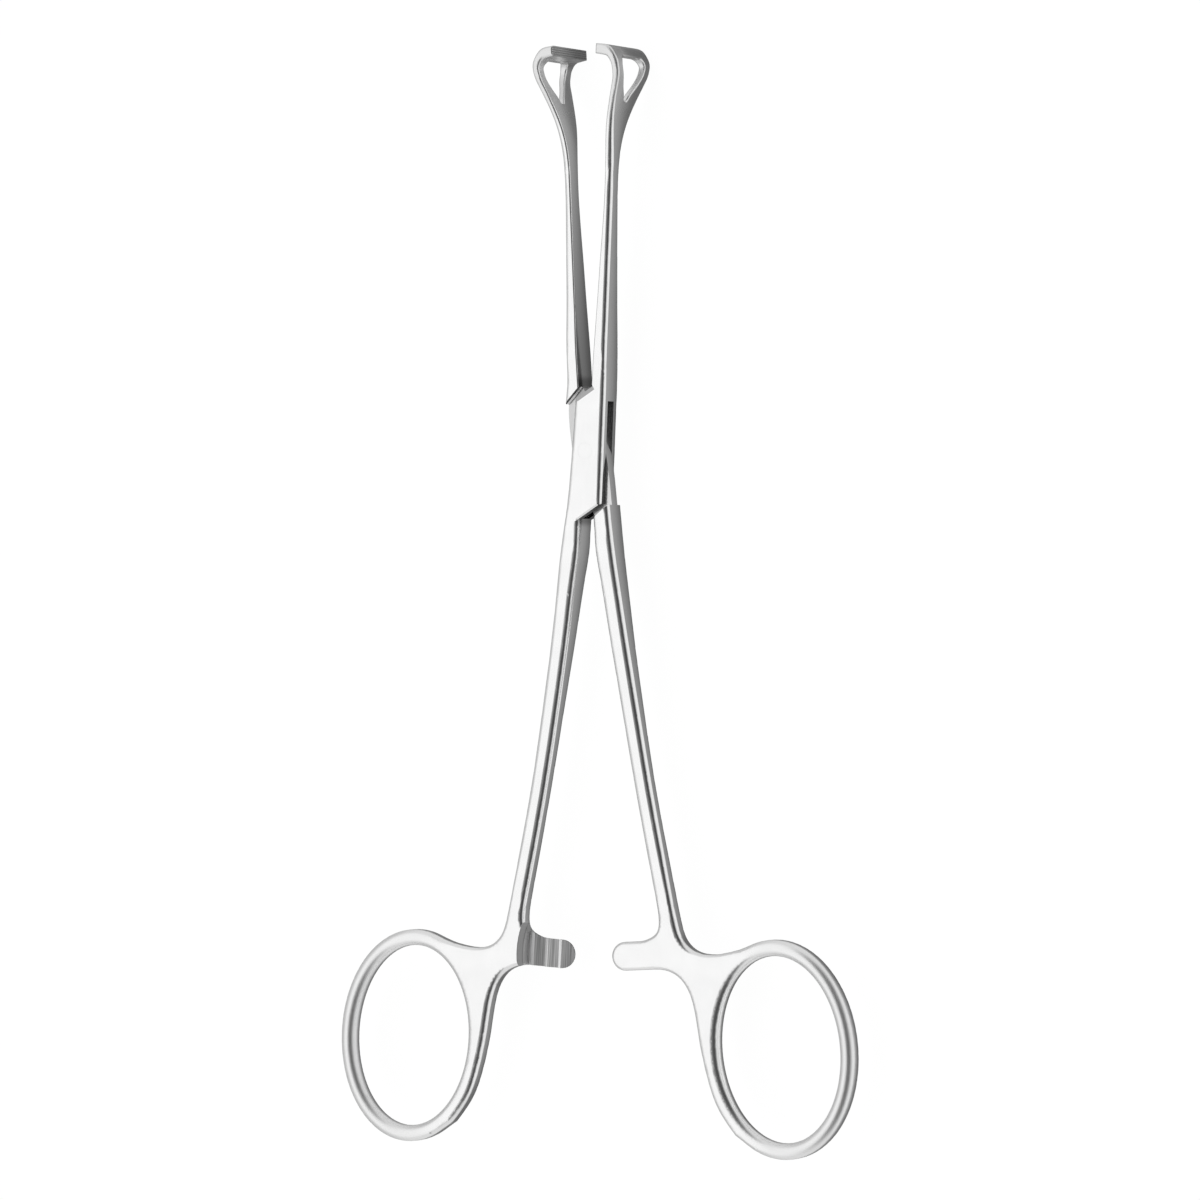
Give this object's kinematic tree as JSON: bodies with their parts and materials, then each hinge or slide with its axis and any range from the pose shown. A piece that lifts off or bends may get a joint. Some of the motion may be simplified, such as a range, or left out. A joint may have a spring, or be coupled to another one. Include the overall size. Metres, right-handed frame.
{
  "type": "intestinal forceps",
  "caption": "Ring-handled holding forceps with a box lock, a ratchet and windowed jaws that close on a ribbed bar, for lifting bowel and other soft tissue.",
  "frame": {"origin": "on the pivot axis, where it meets the back flat face of the box lock", "axes": "+Y along the instrument towards the jaw tips, +Z along the pivot axis towards the front, +X to the side of the tongue half's finger ring"},
  "size_m": [0.0848, 0.1583, 0.01],
  "materials": {
    "steel": "satin, finely brushed"
  },
  "bodies": {
    "fixed_half": {"box_half": "steel", "pivot_pin": "steel"},
    "moving_half": {"tongue_half": "steel"}
  },
  "joints": [
    {"name": "box_lock_hinge", "type": "hinge", "parent": "fixed_half", "child": "moving_half", "pos_m": [0, 0, 0.00215], "axis": [0, 0, 1], "range_deg": [-7, 50]}
  ]
}
